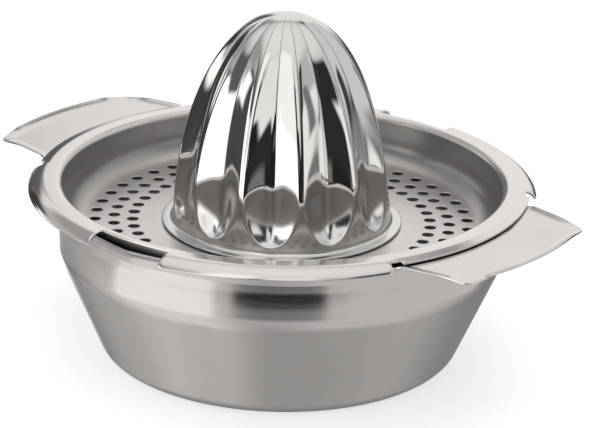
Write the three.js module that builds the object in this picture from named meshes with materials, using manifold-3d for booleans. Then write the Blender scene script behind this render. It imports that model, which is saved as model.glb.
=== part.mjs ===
// Hand citrus juicer in stainless steel: a pouring bowl with two tab handles, a strainer dish
// that hangs in its mouth, and a fluted reamer cone that stands in the middle of the dish,
// pressed over a collar of its floor.
// Millimetres and degrees. +Z is up, the handles lie along X and the pouring notches along Y.
import * as THREE from "three";
import { mergeGeometries, mergeVertices } from "three/addons/utils/BufferGeometryUtils.js";
import Module from "manifold-3d";

const wasm = await Module();
wasm.setup();
const radians = THREE.MathUtils.degToRad;
const clamp = THREE.MathUtils.clamp;

// Sheet, fits and cutters
const sheet = 0.6; // thickness of every pressing
const seatGap = 0.3; // left between two pieces where one rests on the other
const dishClearance = 0.4; // round the dish, inside the band of the bowl
const cutOverrun = 4; // how far a cutter runs past what it cuts

// Bowl, sized on its outer face
const bandRadius = 64.9; // upright band under the mouth
const baseRadius = 51; // where the slanted wall would meet the table
const bandFoot = 32.2; // height at which the slanted wall would meet the band
const baseCornerRadius = 6;
const bendRadius = 11; // between the slanted wall and the band
const handleLevel = 50.4; // top of the handles above the table
const mouthBendRadius = 4.5; // bend from the band out to the handles
const rimTrimAngle = 44; // how far round that bend the rim is left between the handles

// Pouring lips, pressed outward into the band at both ends of Y
const lipDepth = 0.9;
const lipHalfAngle = 9;
const lipFade = 15; // height over which a lip dies out below the rim

// Handles, pressed in one with the bowl
const handleLength = 24.8; // from the band to the outer edge
const handleTipHalfWidth = 27.5;
const handleTaper = 10.9; // each side leans in by this much towards the tip
const handleCornerRadius = 1.6;
const edgeLift = 1.1; // the edges of the handle are turned up by this much
const edgeLiftWidth = 4; // over this width
const edgeLiftRunIn = 1.8; // and over this length next to the strainer
const edgeLiftFade = 9; // the turned-up edges die out over this length towards the corners

// Strainer dish, sized on its upper face
const dishTurn = 3.2; // degrees that the dish is turned in the bowl, up to its play beside the handles
const dishDepth = 13; // from the flange down to the floor
const floorCornerRadius = 6.5;
const wallDraft = 1; // the wall leans in by this much down to the corner
const rimRadius = 1.9; // rounded edge between wall and flange
const flangeWidth = 3.2; // flat part, out to where it starts to roll down
const flangeRise = 0.7; // the flange lies this much higher than the edges of the tabs
const rollRadius = 5.4;
const rollAngle = 59; // how far the skirt is rolled down
const restTabReach = 1.8; // the tabs rest on the handles this far past the mouth bend
const restTabMargin = 0.9; // degrees that a tab runs past the sides of its handle
const reliefWidth = 2.7; // degrees from a tab to the cut end of the skirt
const reliefDepth = 1.2; // the cuts beside a tab start this far inside its edge
const notchTurn = 2; // degrees from Y to the middle of the pouring notches
const notchLand = 1.3; // left of the flange at the bottom of a notch
const notchHalfWidth = 12.1;

// Perforation of the floor
const holeRadius = 1.7;
const holeRowCount = 3;
const holeInset = 1.9; // from the edge of the flat floor in to the outer row
const holeLand = 8.4; // plain floor between the foot of the cone and the inner row
const holesPerRow = 46;
const holeStartAngle = 33.6; // direction of the first hole of the outer row

// Reamer cone, sized on its outer face
const coneRadius = 31.4;
const coneHeight = 62; // from the floor of the dish to the tip
const coneFootWidth = 3.2; // the foot is turned out by this much
const coneFootFilletRadius = 1;
const collarHeight = 1.8; // the floor is turned up inside the cone, which is pressed over it
const collarBendRadius = 0.9;
const profileHeightPower = 1.87; // the outline is a rounded dome between these two powers
const profileRadiusPower = 2.18;
const fluteCount = 11;
const fluteDepth = 4.4;
const fluteDepthPower = 0.85; // 1 deepens evenly from the tip down, less than 1 sooner
const fluteEndHeight = 13; // the rounded lower end of each flute takes this much height
const fluteEndLand = 1.4; // plain cone left between a flute and the foot
const fluteRunOut = 2.5; // the flutes die out over this height under the tip
const ridgeHalfWidth = 0.9;
const valleyBluntness = 0.05; // 0 is a sharp valley, 1 nearly a round one
const scoopBluntness = 0.8; // the same at the foot, where each flute ends in a scoop
const scoopHeight = 44; // height over which the valley turns from sharp to round

// Radii that follow from the sizes above
const handleReach = bandRadius + handleLength;
const wallTopRadius = bandRadius - sheet - dishClearance - sheet;
const floorRadius = wallTopRadius - wallDraft - floorCornerRadius;
const flangeRadius = wallTopRadius + rimRadius + flangeWidth;
const notchRadius = wallTopRadius + rimRadius + notchLand;
const restTabRadius = bandRadius + mouthBendRadius + restTabReach;
const coneFootReach = coneRadius + coneFootWidth;
const collarRadius = coneRadius - sheet - seatGap;
const skirtReach = flangeRadius + rollRadius * Math.sin(radians(rollAngle));
const outerRowRadius = floorRadius - holeInset;
const innerRowRadius = coneFootReach + holeLand;
const holeRowPitch = (outerRowRadius - innerRowRadius) / Math.max(1, holeRowCount - 1);

// The side of a handle is a straight line at this distance from the axis
const tipHalfAngle = Math.asin(handleTipHalfWidth / handleReach);
const handleSideDistance = handleReach * Math.sin(tipHalfAngle + radians(handleTaper));
const restTabHalfAngle = THREE.MathUtils.radToDeg(handleHalfAngle(restTabRadius)) + restTabMargin;
const skirtCutHalfAngle = restTabHalfAngle + reliefWidth;

// Levels
const tabEdgeLevel = handleLevel + seatGap + sheet; // top of the edge of a tab
const flangeLevel = tabEdgeLevel + flangeRise;
const floorLevel = flangeLevel - dishDepth;
const footUnderside = floorLevel + seatGap;
const footTop = footUnderside + sheet;
const coneBase = footTop + coneFootFilletRadius; // the dome starts here
const coneTip = floorLevel + coneHeight;
const fluteEnd = coneBase + fluteEndLand;
const mouthBendLevel = handleLevel - sheet - mouthBendRadius;

// Fineness of the round shapes
const aroundBetweenHandles = 24;
const aroundStrainer = 64;
const holeSides = 8;
const cornerSteps = 4;
const smallCornerSteps = 2;
const columnsPerFluteShares = [-0.5, -0.44, -0.3, -0.14, 0, 0.14, 0.3, 0.44];
const coneOuterRows = 14;
const coneInnerRows = 6;

// Points of an arc about a centre, from one direction to another, ends included.
function arc(centreR, centreZ, radius, from, to, steps) {
  const points = [];
  for (let k = 0; k <= steps; k++) {
    const angle = radians(from + ((to - from) * k) / steps);
    points.push(new THREE.Vector2(centreR + radius * Math.cos(angle), centreZ + radius * Math.sin(angle)));
  }
  return points;
}

// A point at a radius, a direction in radians and a height.
function polar(radius, angle, z) {
  return new THREE.Vector3(radius * Math.cos(angle), radius * Math.sin(angle), z);
}

// Collects triangles as corner points and leaves out those that shrink to a line.
function triangleStore() {
  const corners = [];
  const add = (a, b, c) => {
    if (a.equals(b) || b.equals(c) || c.equals(a)) return;
    for (const p of [a, b, c]) corners.push(p.x, p.y, p.z);
  };
  const quad = (a, b, c, d) => {
    add(a, b, c);
    add(a, c, d);
  };
  const geometry = () => {
    const made = new THREE.BufferGeometry();
    made.setAttribute("position", new THREE.Float32BufferAttribute(corners, 3));
    return mergeVertices(made);
  };
  return { quad, geometry };
}

// A pressed sheet: two faces that follow one grid of rows and closed columns,
// joined along every free edge. Row 0 may be a single point.
function sheetGeometry(rows, columns, point, hasCell) {
  const store = triangleStore();
  const present = (i, j) => i >= 0 && i < rows - 1 && hasCell(i, (j + columns) % columns);
  const corner = (i, j, face) => point(i, j % columns, face);
  for (let i = 0; i < rows - 1; i++) {
    for (let j = 0; j < columns; j++) {
      if (!present(i, j)) continue;
      const places = [[i, j], [i, j + 1], [i + 1, j + 1], [i + 1, j]];
      const outer = places.map(([row, column]) => corner(row, column, 0));
      const inner = places.map(([row, column]) => corner(row, column, 1));
      store.quad(outer[0], outer[1], outer[2], outer[3]);
      store.quad(inner[0], inner[3], inner[2], inner[1]);
      const neighbours = [present(i - 1, j), present(i, j + 1), present(i + 1, j), present(i, j - 1)];
      neighbours.forEach((joined, side) => {
        const next = (side + 1) % 4;
        if (!joined) store.quad(outer[next], outer[side], inner[side], inner[next]);
      });
    }
  }
  return store.geometry();
}

// A closed body of rings, each with the same number of points, that ends in a point at both ends.
function ringGeometry(rings) {
  const store = triangleStore();
  for (let i = 0; i < rings.length - 1; i++) {
    const upper = rings[i];
    const lower = rings[i + 1];
    for (let j = 0; j < upper.length; j++) {
      const next = (j + 1) % upper.length;
      store.quad(upper[j], lower[j], lower[next], upper[next]);
    }
  }
  return store.geometry();
}

// Booleans: a three.js geometry to a solid and back.
function solidOf(geometry) {
  const bare = geometry.clone();
  bare.deleteAttribute("normal");
  bare.deleteAttribute("uv");
  const merged = mergeVertices(bare);
  return new wasm.Manifold(
    new wasm.Mesh({
      numProp: 3,
      vertProperties: new Float32Array(merged.attributes.position.array),
      triVerts: new Uint32Array(merged.index.array),
    }),
  );
}

function geometryOf(solid) {
  const mesh = solid.getMesh();
  const geometry = new THREE.BufferGeometry();
  geometry.setAttribute("position", new THREE.BufferAttribute(mesh.vertProperties, mesh.numProp));
  geometry.setIndex(new THREE.BufferAttribute(mesh.triVerts, 1));
  return geometry;
}

// Half of the angle that a handle takes up at a radius.
function handleHalfAngle(radius) {
  return Math.asin(handleSideDistance / radius) - radians(handleTaper);
}

// Rows of the bowl from the middle of its base to its rim and on to the tip of a handle.
// Each row holds a point of the outer face and the direction to the inner face.
function bowlRows() {
  const slant = THREE.MathUtils.radToDeg(Math.atan2(bandFoot, bandRadius - baseRadius));
  const cornerTangent = baseCornerRadius * Math.tan(radians(slant / 2));
  const bendTangent = bendRadius * Math.tan(radians((90 - slant) / 2));
  const rows = [{ r: 0, z: 0, toInner: new THREE.Vector2(0, 1) }];
  const addArc = (centreR, centreZ, radius, from, to, steps, towards) => {
    const centre = new THREE.Vector2(centreR, centreZ);
    for (const p of arc(centreR, centreZ, radius, from, to, steps)) {
      rows.push({ r: p.x, z: p.y, toInner: p.clone().sub(centre).normalize().multiplyScalar(towards) });
    }
  };
  addArc(baseRadius - cornerTangent, baseCornerRadius, baseCornerRadius, -90, slant - 90, cornerSteps, -1);
  const bendTop = bandFoot + bendTangent;
  addArc(bandRadius - bendRadius, bendTop, bendRadius, slant - 90, 0, cornerSteps - 1, -1);
  rows.push({ r: bandRadius, z: (bendTop + mouthBendLevel) / 2, toInner: new THREE.Vector2(-1, 0) });
  const mouthCentre = bandRadius + mouthBendRadius;
  addArc(mouthCentre, mouthBendLevel, mouthBendRadius, 180, 180 - rimTrimAngle, 2, 1);
  const rimRow = rows.length - 1;
  addArc(mouthCentre, mouthBendLevel, mouthBendRadius, 180 - rimTrimAngle, 90, 2, 1);
  rows.splice(rimRow + 1, 1);
  const liftStart = handleReach - edgeLiftWidth;
  const plateRadii = [restTabRadius, restTabRadius + edgeLiftRunIn, (restTabRadius + liftStart) / 2];
  for (let k = 0; k <= 3; k++) plateRadii.push(liftStart + (edgeLiftWidth * k) / 3);
  for (const r of plateRadii) rows.push({ r, z: handleLevel - sheet, toInner: new THREE.Vector2(0, 1) });
  return { rows, rimRow };
}

// Columns of the bowl: across each handle, crowded near its sides, and between the handles.
function bowlColumns(rimHalfAngle) {
  const edgeSteps = [0, 1, 2, 3].map((k) => 1 - (edgeLiftWidth * k) / 3 / handleTipHalfWidth);
  const half = [...edgeSteps, edgeSteps[3] * (2 / 3), edgeSteps[3] / 3];
  const across = [...half.map((v) => -v), 0, ...half.reverse()];
  const columns = [];
  for (const turn of [0, Math.PI]) {
    for (const share of across) columns.push({ turn, share, angle: turn + share * rimHalfAngle });
    for (let k = 1; k < aroundBetweenHandles; k++) {
      const span = Math.PI - 2 * rimHalfAngle;
      columns.push({ turn, share: null, angle: turn + rimHalfAngle + (span * k) / aroundBetweenHandles });
    }
  }
  return columns;
}

// How far a point of a handle is turned up, from its distances to the side and to the outer edge.
function handleLift(radius, angle) {
  const toSide = handleSideDistance - radius * Math.sin(Math.abs(angle) + radians(handleTaper));
  const toEnd = handleReach - radius;
  const nearest = clamp(Math.min(toSide, toEnd), 0, edgeLiftWidth);
  const runIn = clamp((radius - restTabRadius) / edgeLiftRunIn, 0, 1);
  const fromCorner = THREE.MathUtils.smoothstep(Math.max(toSide, toEnd), 0, edgeLiftFade);
  return edgeLift * runIn * fromCorner * (1 - nearest / edgeLiftWidth) ** 2;
}

// Draws a point of a handle in from its sharp corner onto the rounded one.
function roundedHandlePoint(radius, angle) {
  const fromSide = handleSideDistance - radius * Math.sin(Math.abs(angle) + radians(handleTaper));
  const side = handleCornerRadius - fromSide;
  const end = handleCornerRadius - (handleReach - radius);
  if (side <= 0 || end <= 0) return { radius, angle };
  const shrink = Math.max(side, end) / Math.hypot(side, end);
  const newRadius = handleReach - handleCornerRadius + end * shrink;
  const newFromSide = handleCornerRadius - side * shrink;
  const size = Math.asin((handleSideDistance - newFromSide) / newRadius) - radians(handleTaper);
  return { radius: newRadius, angle: Math.sign(angle) * size };
}

// How far the band is pressed outward at the pouring lips.
function lipPush(angle, z, rimLevel) {
  const offAxis = Math.acos(Math.abs(Math.sin(angle)));
  const across = clamp(1 - offAxis / radians(lipHalfAngle), 0, 1);
  const down = clamp(1 - (rimLevel - z) / lipFade, 0, 1);
  return lipDepth * across * down * down;
}

function bowlGeometry() {
  const { rows, rimRow } = bowlRows();
  const rimHalfAngle = handleHalfAngle(rows[rimRow].r);
  const columns = bowlColumns(rimHalfAngle);
  const point = (i, j, face) => {
    const row = rows[i];
    const column = columns[j];
    if (i > rimRow) {
      const share = column.share === null ? 1 : column.share;
      const placed = roundedHandlePoint(row.r, share * handleHalfAngle(row.r));
      const lift = handleLift(placed.radius, placed.angle);
      const drawn = placed.radius + row.toInner.x * sheet * face;
      return polar(drawn, column.turn + placed.angle, row.z + row.toInner.y * sheet * face + lift);
    }
    const push = i === 0 ? 0 : lipPush(column.angle, row.z, rows[rimRow].z);
    const radius = row.r + push + row.toInner.x * sheet * face;
    return polar(radius, column.angle, row.z + row.toInner.y * sheet * face);
  };
  const acrossHandle = (j) => columns[j].share !== null && columns[j].share < 1;
  return sheetGeometry(rows.length, columns.length, point, (i, j) => i < rimRow || acrossHandle(j));
}

// One face of the collar inside the cone, from its top down and out onto the floor.
function collarFace(inset) {
  const centreR = collarRadius + collarBendRadius;
  const centreZ = floorLevel + collarBendRadius;
  return [
    new THREE.Vector2(collarRadius - inset, floorLevel + collarHeight),
    ...arc(centreR, centreZ, collarBendRadius + inset, 180, 270, smallCornerSteps),
  ];
}

// Closed outline of the strainer: along its upper face and back along its lower face.
function strainerOutline() {
  const cornerCentre = floorLevel + floorCornerRadius;
  const rollCentre = flangeLevel - rollRadius;
  const rimCentre = flangeLevel - rimRadius;
  const face = (inset) => [
    ...collarFace(inset),
    ...arc(floorRadius, cornerCentre, floorCornerRadius + inset, -90, 0, cornerSteps),
    ...arc(wallTopRadius + rimRadius, rimCentre, rimRadius - inset, 180, 90, smallCornerSteps),
    ...arc(flangeRadius, rollCentre, rollRadius - inset, 90, 90 - rollAngle, cornerSteps - 1),
  ];
  const outline = [...face(sheet), ...face(0).reverse()];
  outline.push(outline[0].clone());
  return outline;
}

// A flat ring sector as a prism, with its sides at one angle inside and another outside.
function sectorPrism(innerRadius, outerRadius, innerHalf, outerHalf, middle, low, high) {
  const shape = new THREE.Shape();
  const steps = 10;
  for (let k = 0; k <= steps; k++) {
    const p = polar(innerRadius, radians(middle + innerHalf * (1 - (2 * k) / steps)), 0);
    if (k === 0) shape.moveTo(p.x, p.y);
    else shape.lineTo(p.x, p.y);
  }
  for (let k = 0; k <= steps; k++) {
    const p = polar(outerRadius, radians(middle - outerHalf * (1 - (2 * k) / steps)), 0);
    shape.lineTo(p.x, p.y);
  }
  const prism = new THREE.ExtrudeGeometry(shape, { depth: high - low, bevelEnabled: false });
  return prism.translate(0, 0, low);
}

function perforation() {
  const punches = [];
  const pitch = 360 / holesPerRow;
  for (let row = 0; row < holeRowCount; row++) {
    const radius = outerRowRadius - row * holeRowPitch;
    const start = holeStartAngle + (row % 2 === 1 ? pitch / 2 : 0);
    for (let k = 0; k < holesPerRow; k++) {
      const punch = new THREE.CylinderGeometry(holeRadius, holeRadius, sheet + 2 * cutOverrun, holeSides);
      const place = polar(radius, radians(start + pitch * k), floorLevel - sheet / 2);
      punches.push(punch.rotateX(Math.PI / 2).translate(place.x, place.y, place.z));
    }
  }
  return mergeGeometries(punches);
}

function latheSolid(outline) {
  return solidOf(new THREE.LatheGeometry(outline, aroundStrainer).rotateX(Math.PI / 2));
}

// The ring that the tabs are cut from: it slopes from the flange down to the handles.
function tabRing() {
  const root = flangeRadius - rimRadius;
  const outline = [
    new THREE.Vector2(root, flangeLevel),
    new THREE.Vector2(root, flangeLevel - sheet),
    new THREE.Vector2(flangeRadius, flangeLevel - sheet),
    new THREE.Vector2(restTabRadius, tabEdgeLevel - sheet),
    new THREE.Vector2(restTabRadius, tabEdgeLevel),
    new THREE.Vector2(flangeRadius, flangeLevel),
    new THREE.Vector2(root, flangeLevel),
  ];
  return latheSolid(outline);
}

function strainerGeometry() {
  let strainer = latheSolid(strainerOutline());
  const past = skirtReach + cutOverrun;
  const low = flangeLevel - rollRadius - cutOverrun;
  const high = flangeLevel + cutOverrun;
  const sector = (inner, innerHalf, outerHalf, middle) =>
    solidOf(sectorPrism(inner, past, innerHalf, outerHalf, middle, low, high));
  const tabs = tabRing();
  const reliefRadius = restTabRadius - reliefDepth;
  for (const side of [0, 180]) {
    const middle = side + dishTurn;
    const tabSector = sector(flangeRadius, restTabHalfAngle, restTabHalfAngle, middle);
    const tabRoot = sector(flangeRadius - rimRadius, restTabHalfAngle, restTabHalfAngle, middle);
    const relief = sector(reliefRadius, skirtCutHalfAngle, skirtCutHalfAngle, middle);
    strainer = strainer.subtract(relief).subtract(tabSector).add(tabs.intersect(tabRoot));
  }
  const halfAngleAt = (radius) => THREE.MathUtils.radToDeg(Math.asin(notchHalfWidth / radius));
  for (const side of [90, 270]) {
    const notch = sector(notchRadius, halfAngleAt(notchRadius), halfAngleAt(past), side + notchTurn);
    strainer = strainer.subtract(notch);
  }
  return geometryOf(strainer.subtract(solidOf(perforation())));
}

// Radius of the dome at a level, before the flutes are pressed in.
function domeRadius(z) {
  const height = clamp((z - coneBase) / (coneTip - coneBase), 0, 1);
  return coneRadius * (1 - height ** profileHeightPower) ** (1 / profileRadiusPower);
}

// Radius of the fluted cone at a level and a direction, which is counted from a valley.
function flutedRadius(z, angle) {
  const dome = domeRadius(z);
  const endShare = clamp((fluteEnd + fluteEndHeight - z) / fluteEndHeight, 0, 1);
  const endCurve = Math.sqrt(1 - endShare ** 2);
  const runOut = THREE.MathUtils.smoothstep(coneTip - z, 0, fluteRunOut);
  const fromTip = clamp((coneTip - z) / (coneTip - coneBase), 0, 1);
  const depth = fluteDepth * fromTip ** fluteDepthPower * endCurve * runOut;
  const halfPitch = Math.PI / fluteCount;
  const halfValley = (halfPitch - ridgeHalfWidth / coneRadius) * endCurve;
  const fromValley = Math.abs(angle - Math.round(angle / (2 * halfPitch)) * 2 * halfPitch);
  if (halfValley === 0 || fromValley >= halfValley) return dome;
  const inScoop = 1 - THREE.MathUtils.smoothstep(z, coneBase, coneBase + scoopHeight);
  const blunt = valleyBluntness + (scoopBluntness - valleyBluntness) * inScoop;
  const rise = (Math.hypot(fromValley / halfValley, blunt) - blunt) / (Math.hypot(1, blunt) - blunt);
  return dome - depth * (1 - rise);
}

// One ring of the fluted face, drawn in by the sheet for the inner face.
function fluteRing(z, inset) {
  const ring = [];
  for (let flute = 0; flute < fluteCount; flute++) {
    for (const share of columnsPerFluteShares) {
      const angle = ((flute + share) * 2 * Math.PI) / fluteCount;
      ring.push(polar(flutedRadius(z, angle) - inset, angle - Math.PI / 2, z));
    }
  }
  return ring;
}

function plainRing(radius, z) {
  const count = fluteCount * columnsPerFluteShares.length;
  return Array.from({ length: count }, (_, k) => {
    const share = columnsPerFluteShares[k % columnsPerFluteShares.length];
    const flute = Math.floor(k / columnsPerFluteShares.length);
    return polar(radius, ((flute + share) * 2 * Math.PI) / fluteCount - Math.PI / 2, z);
  });
}

// Rings of one face of the dome, from its top down, crowded towards the tip and the foot.
function domeRings(top, inset, count) {
  const rings = [plainRing(0, top)];
  for (let k = 1; k <= count; k++) {
    const share = (1 + Math.cos((Math.PI * k) / count)) / 2;
    rings.push(fluteRing(coneBase + (top - inset - coneBase) * share, inset));
  }
  return rings;
}

function coneGeometry() {
  const outerRings = domeRings(coneTip, 0, coneOuterRows);
  const innerRings = domeRings(coneTip - sheet, sheet, coneInnerRows);
  const edgeRadius = sheet / 2;
  const filletCentre = coneRadius + coneFootFilletRadius;
  const foot = [
    ...arc(filletCentre, coneBase, coneFootFilletRadius, 210, 270, 2),
    ...arc(coneFootReach - edgeRadius, footTop - edgeRadius, edgeRadius, 90, -90, smallCornerSteps),
    ...arc(filletCentre, coneBase, coneFootFilletRadius + sheet, 270, 210, 2),
  ];
  const footRings = foot.map((p) => plainRing(p.x, p.y));
  return ringGeometry([...outerRings, ...footRings, ...innerRings.reverse()]);
}

// Finishes: satin steel for the bowl and the dish, a mirror polish on the cone
function steel(colour, roughness) {
  return new THREE.MeshStandardMaterial({ color: colour, roughness, metalness: 1 });
}

const bowl = new THREE.Mesh(bowlGeometry(), steel(0xb7b3b1, 0.38));
bowl.name = "bowl";

const strainer = new THREE.Mesh(strainerGeometry(), steel(0xc4c0be, 0.3));
strainer.name = "strainer";

const cone = new THREE.Mesh(coneGeometry(), steel(0xd8d6d5, 0.06));
cone.name = "reamer_cone";

const liftOut = new THREE.Group(); // what is lifted out of the bowl together
liftOut.add(strainer, cone);

const juicer = new THREE.Group();
juicer.add(bowl, liftOut);
for (const piece of [bowl, strainer, cone]) piece.geometry.computeVertexNormals();

export default juicer;
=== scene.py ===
# %% [markdown]
# # A hand citrus juicer in stainless steel
#
# The juicer is three pressings of thin sheet: a bowl with two tab handles, a strainer dish that hangs
# in its mouth, and a fluted cone that is pressed over a collar in the middle of the dish. This lesson
# gives each pressing its fine surface and its finish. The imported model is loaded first, and everything
# is built in its frame: +Z is up, the handles lie along X and the pouring notches along Y.

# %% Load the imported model
import math
from functools import partial

import bmesh
import bpy
from mathutils import Matrix, Vector


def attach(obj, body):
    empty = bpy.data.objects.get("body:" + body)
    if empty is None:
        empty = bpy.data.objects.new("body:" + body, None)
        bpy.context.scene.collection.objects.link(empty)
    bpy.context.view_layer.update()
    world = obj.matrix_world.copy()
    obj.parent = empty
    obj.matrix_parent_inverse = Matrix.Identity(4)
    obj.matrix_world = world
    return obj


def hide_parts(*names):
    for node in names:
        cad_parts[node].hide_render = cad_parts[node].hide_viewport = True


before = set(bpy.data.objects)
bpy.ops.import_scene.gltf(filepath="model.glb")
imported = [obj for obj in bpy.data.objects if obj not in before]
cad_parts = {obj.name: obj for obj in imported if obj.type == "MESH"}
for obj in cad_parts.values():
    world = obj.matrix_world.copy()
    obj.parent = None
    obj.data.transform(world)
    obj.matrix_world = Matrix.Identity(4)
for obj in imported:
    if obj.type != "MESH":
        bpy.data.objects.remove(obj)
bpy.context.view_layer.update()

# %% [markdown]
# ## Units and small helpers
#
# Sizes on a drawing of sheet metal are in millimetres, and Blender works in metres. So every size below
# is written in millimetres, and a mesh is scaled once, where its points are handed to Blender.

# %% Units and helpers
MM = 0.001


def arc(centre_r, centre_z, radius, start, end, steps):
    """Points of an arc in the plane of a section, from one direction in degrees to another."""
    turns = [math.radians(start + (end - start) * k / steps) for k in range(steps + 1)]
    return [(centre_r + radius * math.cos(t), centre_z + radius * math.sin(t)) for t in turns]


def polar(radius, angle, z):
    return Vector((radius * math.cos(angle), radius * math.sin(angle), z))


def ramp(value, low, high):
    """0 at low, 1 at high, straight between."""
    return min(1.0, max(0.0, (value - low) / (high - low)))


def spread(start, end, steps):
    """Evenly spaced values, with the start and the end."""
    return [start + (end - start) * k / steps for k in range(steps + 1)]


def between(start, end, steps):
    """Evenly spaced points of a section between two of its points, without those two."""
    return list(zip(*(spread(a, b, steps)[1:-1] for a, b in zip(start, end))))


def new_object(name, data):
    """An object at the origin, in the scene."""
    made = bpy.data.objects.new(name, data)
    bpy.context.scene.collection.objects.link(made)
    return made


print("a millimetre is", MM, "of Blender's units")

# %% [markdown]
# ## The camera
#
# The camera was fitted to the ellipses of the rim and the base, so it stands where the photographer
# stood: 85 cm away with a long lens, a little over 20 degrees above the table. A long lens keeps the
# ellipses flat. The camera leans by a degree and a half, as the picture does.

# %% Camera
camera_azimuth = math.radians(38.22)
camera_elevation = math.radians(20.80)
camera_roll = math.radians(-1.45)
camera_distance = 849.8
camera_aim = Vector((4.72, 0.41, 41.73))
focal_pixels, photo_width = 2951.0, 591
sensor_width = 36

backward = Vector((
    math.sin(camera_azimuth) * math.cos(camera_elevation),
    -math.cos(camera_azimuth) * math.cos(camera_elevation),
    math.sin(camera_elevation),
))
level_right = Vector((math.cos(camera_azimuth), math.sin(camera_azimuth), 0))
level_up = backward.cross(level_right)
right = level_right * math.cos(camera_roll) - level_up * math.sin(camera_roll)
up = level_up * math.cos(camera_roll) + level_right * math.sin(camera_roll)

camera = new_object("camera", bpy.data.cameras.new("camera"))
camera.data.sensor_width = sensor_width
camera.data.lens = sensor_width * focal_pixels / photo_width
camera.matrix_world = Matrix.Translation((camera_aim + backward * camera_distance) * MM) @ Matrix(
    (right, up, backward)
).transposed().to_4x4()
bpy.context.scene.camera = camera
print("lens", round(camera.data.lens, 1), "mm, camera at", tuple(round(v, 3) for v in camera.location))

# %% [markdown]
# ## The studio
#
# Polished metal has hardly any colour of its own: it shows the room. So the room is painted as large
# soft boxes with dark gaps between them, and each side of a flute then shows either a box or a gap.
# Every box is given by its direction as seen from the juicer. The azimuth counts in degrees from the
# camera, positive to the camera's right, and the elevation from the horizon up. A slant moves a box
# sideways with the height, by so many degrees for each degree up.
#
# One node group paints one box over what lies behind it. A chain of them is the whole room.

# %% Node helpers
def set_inputs(tree, node, values):
    """Gives each input, by its name or number, its value, or links it to the socket that feeds it."""
    for key, value in values.items():
        if isinstance(value, bpy.types.NodeSocket):
            tree.links.new(value, node.inputs[key])
        else:
            node.inputs[key].default_value = value


def add_node(tree, kind, values=None, **settings):
    """Adds a node with its settings, and then gives its inputs their values."""
    node = tree.nodes.new(kind)
    for key, value in settings.items():
        setattr(node, key, value)
    set_inputs(tree, node, values or {})
    return node


def calc(tree, operation, *values):
    return add_node(tree, "ShaderNodeMath", dict(enumerate(values)), operation=operation).outputs[0]


def graded(tree, value, low, high, at_low=0.0, at_high=1.0, eased=False):
    """at_low up to low, at_high from high on, and between them straight or eased."""
    return add_node(tree, "ShaderNodeMapRange", {
        "Value": value, "From Min": low, "From Max": high, "To Min": at_low, "To Max": at_high,
    }, interpolation_type="SMOOTHSTEP" if eased else "LINEAR").outputs[0]


def sums(tree):
    """The sums that a tree needs most: add, subtract, multiply, divide and larger."""
    return [partial(calc, tree, kind) for kind in ("ADD", "SUBTRACT", "MULTIPLY", "DIVIDE", "MAXIMUM")]


def shader_group(name, inputs, outputs):
    """A node group of shader values, with its inputs and outputs as sockets."""
    group = bpy.data.node_groups.new(name, "ShaderNodeTree")
    for in_out, labels in (("INPUT", inputs), ("OUTPUT", outputs)):
        for label in labels:
            group.interface.new_socket(label, in_out=in_out, socket_type="NodeSocketFloat")
    return group, group.nodes.new("NodeGroupInput").outputs, group.nodes.new("NodeGroupOutput").inputs


# %% Soft box group
box_inputs = (
    "Middle", "Half width", "Level", "Half height", "Side edge", "Level edge", "Slant", "Radiance"
)
box_group, given, result = shader_group(
    "soft box", ("Azimuth", "Elevation", "Behind", *box_inputs), ("Radiance",)
)
add, subtract, multiply, divide, larger = sums(box_group)
half_turn = 180.0


def inside(distance, half, edge):
    """1 inside half the size, falling to 0 over the width of the edge."""
    half_edge = multiply(edge, 0.5)
    low, high = subtract(half, half_edge), add(half, half_edge)
    return graded(box_group, calc(box_group, "ABSOLUTE", distance), low, high, 1.0, 0.0, eased=True)


above = subtract(given["Elevation"], given["Level"])
middle_there = add(given["Middle"], multiply(above, given["Slant"]))
aside = calc(box_group, "WRAP", subtract(given["Azimuth"], middle_there), half_turn, -half_turn)
covered = multiply(
    inside(aside, given["Half width"], given["Side edge"]),
    inside(above, given["Half height"], given["Level edge"]),
)
painted = add_node(box_group, "ShaderNodeMix", {
    "Factor": covered, "A": given["Behind"], "B": given["Radiance"],
}, data_type="FLOAT")
box_group.links.new(painted.outputs["Result"], result["Radiance"])
print(len(box_group.nodes), "nodes paint one soft box")

# %% [markdown]
# What the juicer sees by height, where there is no soft box: the pale table under it, a dim strip past
# the edge of the table, grey walls and a pale ceiling. The boxes that follow are painted over it in this
# order, the bright ones and the dark ones: the dark ones are the camera's side of the room and flags.

# %% Studio
world = bpy.data.worlds.new("studio")
world.use_nodes = True
bpy.context.scene.world = world
bpy.context.scene.view_settings.view_transform = "Standard"
room = world.node_tree

seen = add_node(room, "ShaderNodeTexCoord").outputs["Generated"]
to_camera = Vector((math.sin(camera_azimuth), -math.cos(camera_azimuth), 0))
sideways, towards, upward = (
    add_node(room, "ShaderNodeVectorMath", {0: seen, 1: axis}, operation="DOT_PRODUCT").outputs["Value"]
    for axis in (level_right, to_camera, Vector((0, 0, 1)))
)
azimuth = calc(room, "DEGREES", calc(room, "ARCTAN2", sideways, towards))
elevation = calc(room, "DEGREES", calc(room, "ARCSINE", upward))

lowest, highest = -90.0, 90.0
room_by_elevation = [
    (lowest, 0.42), (-60, 0.50), (-32, 0.62), (-19, 0.66), (-14, 0.40), (-8, 0.20), (0, 0.30),
    (12, 0.55), (45, 0.55), (56, 0.85), (highest, 0.95),
]
tones = add_node(room, "ShaderNodeValToRGB", {0: graded(room, elevation, lowest, highest)})
while len(tones.color_ramp.elements) < len(room_by_elevation):
    tones.color_ramp.elements.new(position=0.5)
for element, (degrees, tone) in zip(tones.color_ramp.elements, room_by_elevation):
    element.position = (degrees - lowest) / (highest - lowest)
    element.color = (tone, tone, tone, 1)

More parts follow.
